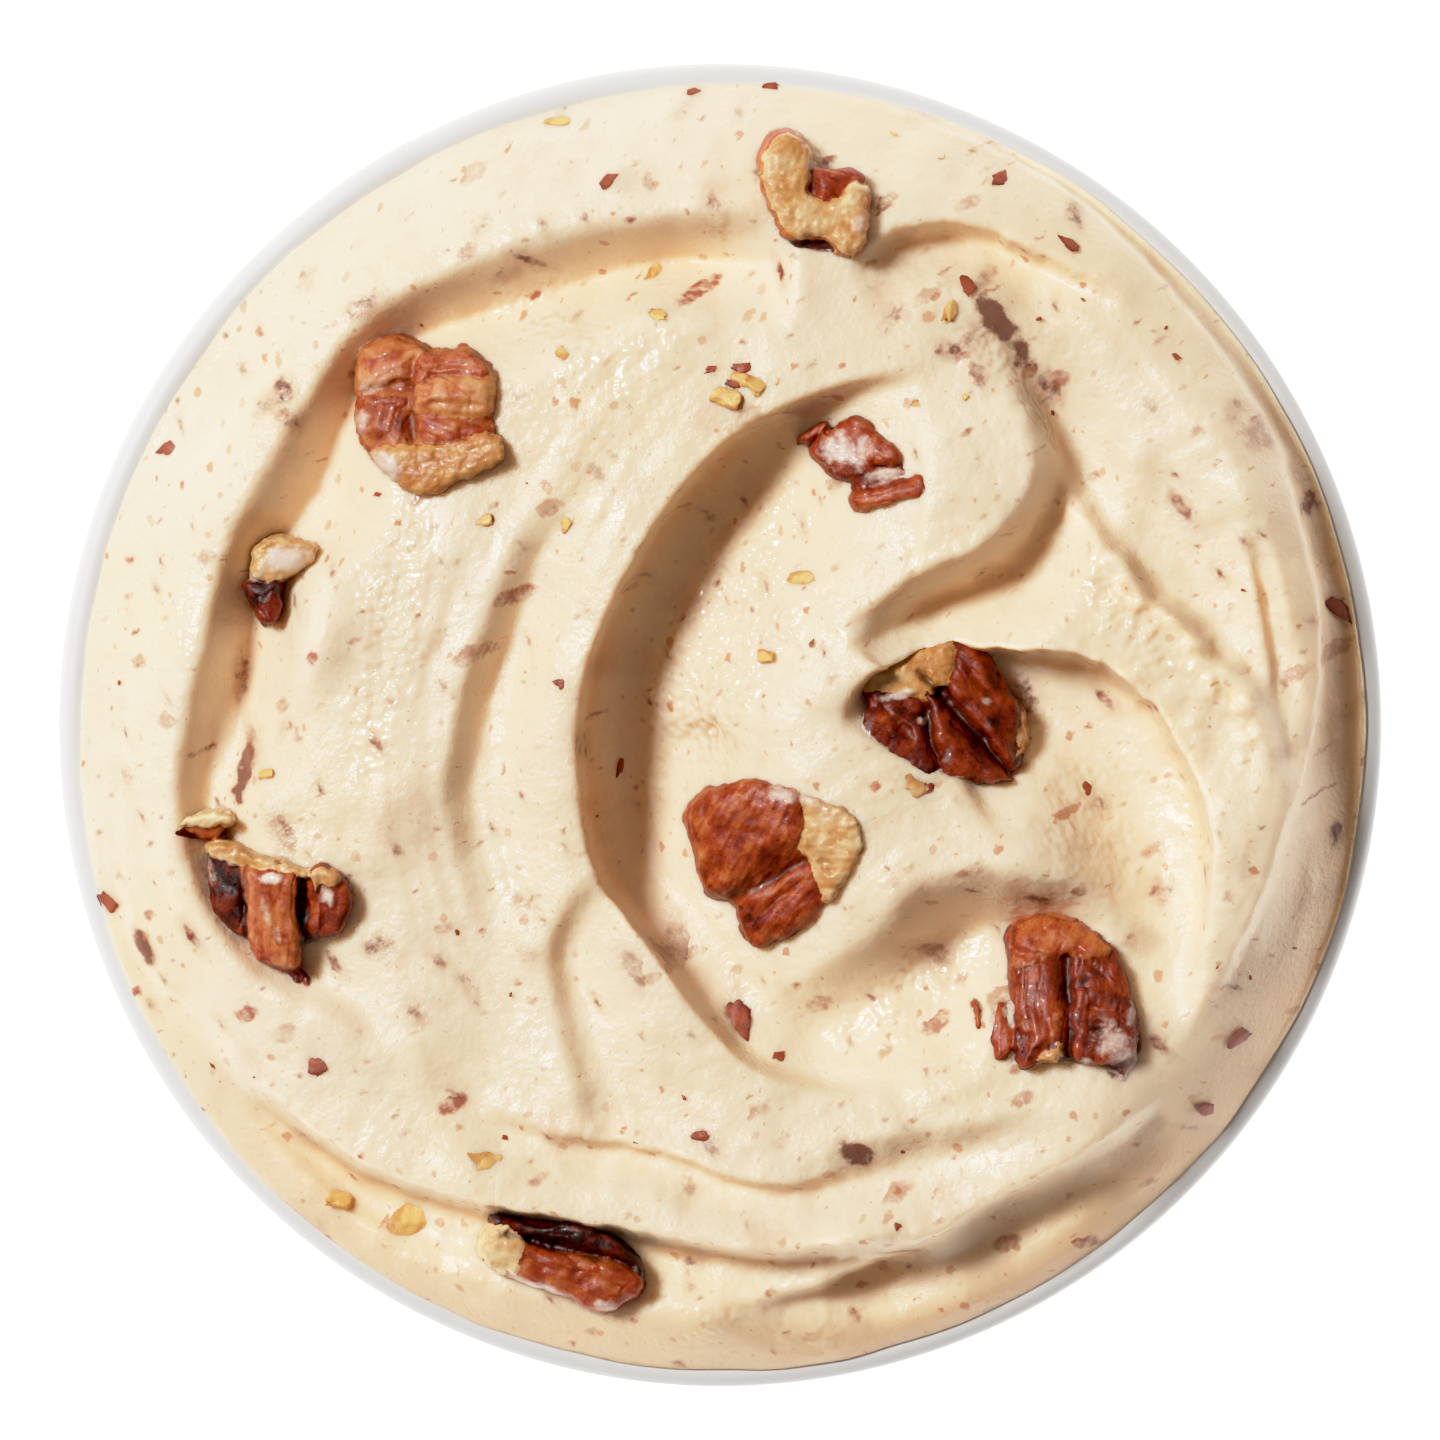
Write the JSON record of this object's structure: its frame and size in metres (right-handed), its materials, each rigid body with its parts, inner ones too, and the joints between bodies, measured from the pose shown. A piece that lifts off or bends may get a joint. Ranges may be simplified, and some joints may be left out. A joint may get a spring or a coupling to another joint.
{
  "type": "paper tub of pecan ice cream",
  "caption": "Round paper tub heaped above its rolled rim with pale ice cream drawn into spoon swirls, with pecan pieces and nut crumbs on top.",
  "frame": {"origin": "centre of the tub's foot, on the surface it stands on", "axes": "+Z up along the tub's axis; seen from above, +X is to the right and +Y is up"},
  "size_m": [0.096, 0.096, 0.0726],
  "materials": {
    "paper": "plain white coated paper, matt with a faint sheen",
    "ice_cream": "pale cream ice cream, softly translucent, satin with small wet glints",
    "pecan": "red-brown wrinkled nut skin and pale tan broken flesh, slightly moist"
  },
  "bodies": {
    "root": {"paper_tub": "paper", "ice_cream": "ice_cream", "pecan_upper_left": "pecan", "pecan_top": "pecan", "pecan_centre": "pecan", "pecan_under_hood": "pecan", "pecan_lower_right": "pecan", "pecan_left": "pecan", "pecan_bottom": "pecan", "pecan_left_small": "pecan", "pecan_on_lobe": "pecan"}
  },
  "joints": []
}
